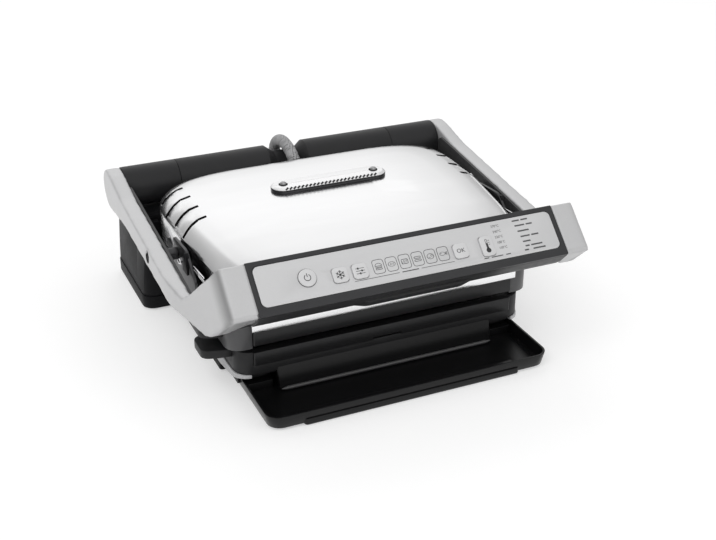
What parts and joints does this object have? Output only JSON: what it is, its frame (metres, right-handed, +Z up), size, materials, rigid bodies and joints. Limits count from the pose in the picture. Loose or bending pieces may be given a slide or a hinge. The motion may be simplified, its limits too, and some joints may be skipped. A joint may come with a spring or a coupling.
{
  "type": "electric indoor grill with lid",
  "caption": "Countertop electric contact grill: floating polished lid hung in a silver yoke with a sloping control panel, ribbed cooking plates and a slide-out drip tray.",
  "frame": {"origin": "bottom centre of the bounding box, on the surface the grill stands on", "axes": "+X to the grill's right, across the hinge; +Y to the rear; +Z up"},
  "size_m": [0.37, 0.36, 0.1471],
  "materials": {
    "satin_silver": "satin metallic paint",
    "polished_cover": "finely polished",
    "black_shell": "fine grain",
    "gloss_black": "gloss",
    "dark_bezel": "semi-gloss",
    "panel_grey": "satin silver",
    "key_grey": "satin",
    "skirt_grey": "satin",
    "coated_plate": "non-stick coating, satin",
    "bright_metal": "bright",
    "heater_tube": "oxidised",
    "reflector_sheet": "mill",
    "bush_brass": "turned",
    "black_rubber": "matte",
    "circuit_board": "solder mask",
    "woven_sleeve": "woven glass fibre",
    "badge_metal": "brushed"
  },
  "bodies": {
    "base": {"base_tub": "black_shell", "tray_guides": "black_shell", "side_skirts": "skirt_grey", "rear_housing": "black_shell", "housing_cheeks": "black_shell", "hinge_barrel": "black_shell", "hinge_pins": "bright_metal", "base_pan": "black_shell", "rubber_feet": "black_rubber", "drain_apron": "gloss_black", "lower_plate": "coated_plate", "lower_heater": "heater_tube", "lower_reflector": "reflector_sheet", "plate_probe": "bush_brass", "power_board": "circuit_board", "cord_gland": "black_rubber", "sleeve_gland": "black_rubber", "base_screws": "bright_metal", "cable_sleeve": "woven_sleeve"},
    "plate_release_lower": {"lower_release": "black_shell"},
    "tray": {"drip_tray": "gloss_black"},
    "yoke": {"left_arm": "satin_silver", "right_arm": "satin_silver", "arm_liners": "black_shell", "hinge_collars": "black_shell", "hinge_bushes": "bush_brass", "handle_shell": "black_shell", "panel_bezel": "dark_bezel", "panel_insert": "panel_grey", "control_board": "circuit_board", "key_switches": "black_shell"},
    "float_carrier": {"float_pins": "bright_metal"},
    "lid": {"lid_cover": "polished_cover", "name_plate": "badge_metal", "plate_rivets": "bright_metal", "lid_frame": "black_shell", "lid_brackets": "bright_metal", "upper_plate": "coated_plate", "upper_heater": "heater_tube", "upper_reflector": "reflector_sheet", "sleeve_socket": "black_rubber"},
    "plate_release_upper": {"upper_release": "black_shell"},
    "button_power": {"key_power": "key_grey"},
    "button_frozen": {"key_frozen": "key_grey"},
    "button_manual": {"key_manual": "key_grey"},
    "button_ok": {"key_ok": "key_grey"},
    "button_heat": {"key_heat": "key_grey"}
  },
  "joints": [
    {"name": "yoke_hinge", "type": "hinge", "parent": "base", "child": "yoke", "pos_m": [0, 0.138, 0.108], "axis": [-1, 0, 0], "range_deg": [0, 95], "deforming": ["cable_sleeve"]},
    {"name": "lid_lift", "type": "slide", "parent": "yoke", "child": "float_carrier", "axis": [0, 0, 1], "range_m": [0, 0.004]},
    {"name": "lid_tilt", "type": "hinge", "parent": "float_carrier", "child": "lid", "pos_m": [0, -0.005, 0.097], "axis": [1, 0, 0], "range_deg": [-1.5, 1.5]},
    {"name": "tray_slide", "type": "slide", "parent": "base", "child": "tray", "axis": [0, -1, 0], "range_m": [0, 0.09]},
    {"name": "lower_release_push", "type": "slide", "parent": "base", "child": "plate_release_lower", "axis": [1, 0, 0], "range_m": [0, 0.0025], "stiffness_N_per_m": 600},
    {"name": "upper_release_push", "type": "slide", "parent": "lid", "child": "plate_release_upper", "axis": [1, 0, 0], "range_m": [0, 0.0025], "stiffness_N_per_m": 600},
    {"name": "press_power", "type": "slide", "parent": "yoke", "child": "button_power", "axis": [0, 0.6858, -0.7278], "range_m": [0, 0.0008], "stiffness_N_per_m": 1500},
    {"name": "press_frozen", "type": "slide", "parent": "yoke", "child": "button_frozen", "axis": [0, 0.6858, -0.7278], "range_m": [0, 0.0008], "stiffness_N_per_m": 1500},
    {"name": "press_manual", "type": "slide", "parent": "yoke", "child": "button_manual", "axis": [0, 0.6858, -0.7278], "range_m": [0, 0.0008], "stiffness_N_per_m": 1500},
    {"name": "press_ok", "type": "slide", "parent": "yoke", "child": "button_ok", "axis": [0, 0.6858, -0.7278], "range_m": [0, 0.0008], "stiffness_N_per_m": 1500},
    {"name": "press_heat", "type": "slide", "parent": "yoke", "child": "button_heat", "axis": [0, 0.6858, -0.7278], "range_m": [0, 0.0008], "stiffness_N_per_m": 1500}
  ]
}
